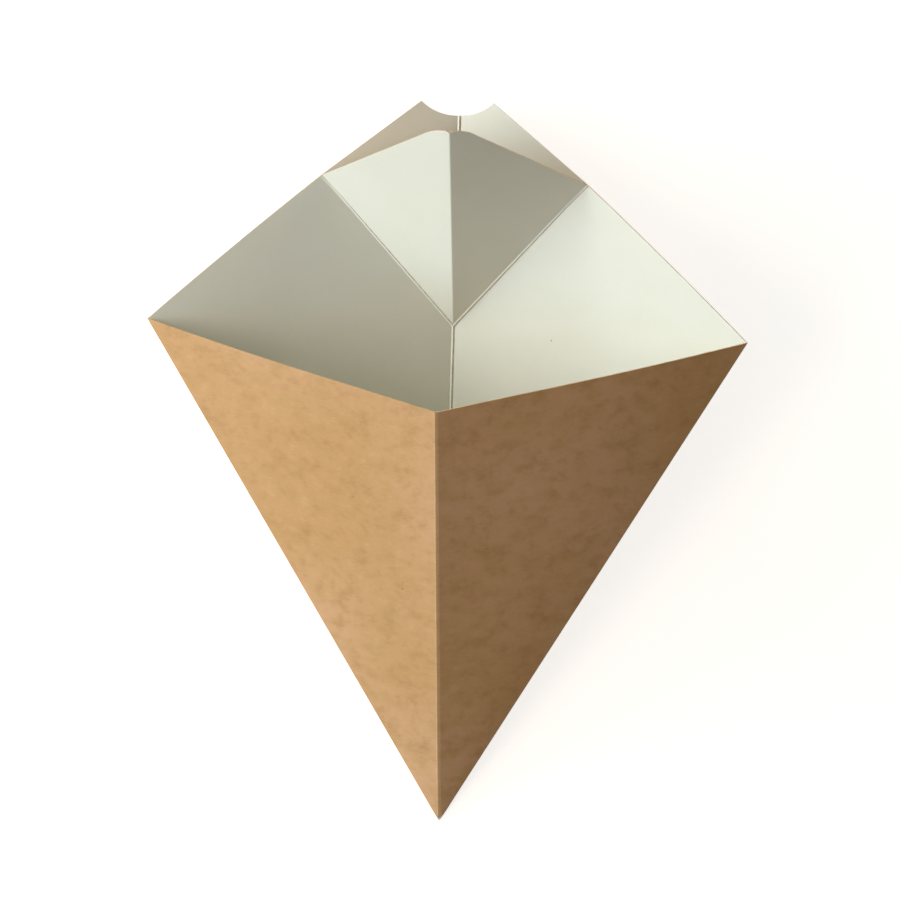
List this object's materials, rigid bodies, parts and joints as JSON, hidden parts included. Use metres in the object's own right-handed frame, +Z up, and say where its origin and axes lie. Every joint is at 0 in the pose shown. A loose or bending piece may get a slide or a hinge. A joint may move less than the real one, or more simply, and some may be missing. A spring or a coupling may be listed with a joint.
{
  "type": "paper fries cone",
  "caption": "Folded kraft board cone for fries, squeezed open, with a sauce pocket behind its inner wall and a thumb notch in its back; it lies on one rear panel.",
  "frame": {"origin": "on the floor under the middle of the part's box", "axes": "+Y from the tip to the mouth, along the crease that the part rests beside; +Z up, out of the floor; +X across, to the rear panel that is turned up"},
  "size_m": [0.2049, 0.2703, 0.0675],
  "materials": {
    "kraft_board": "uncoated kraft outside, thin white coating inside"
  },
  "bodies": {
    "root": {"fries_cone": "kraft_board"}
  },
  "joints": []
}
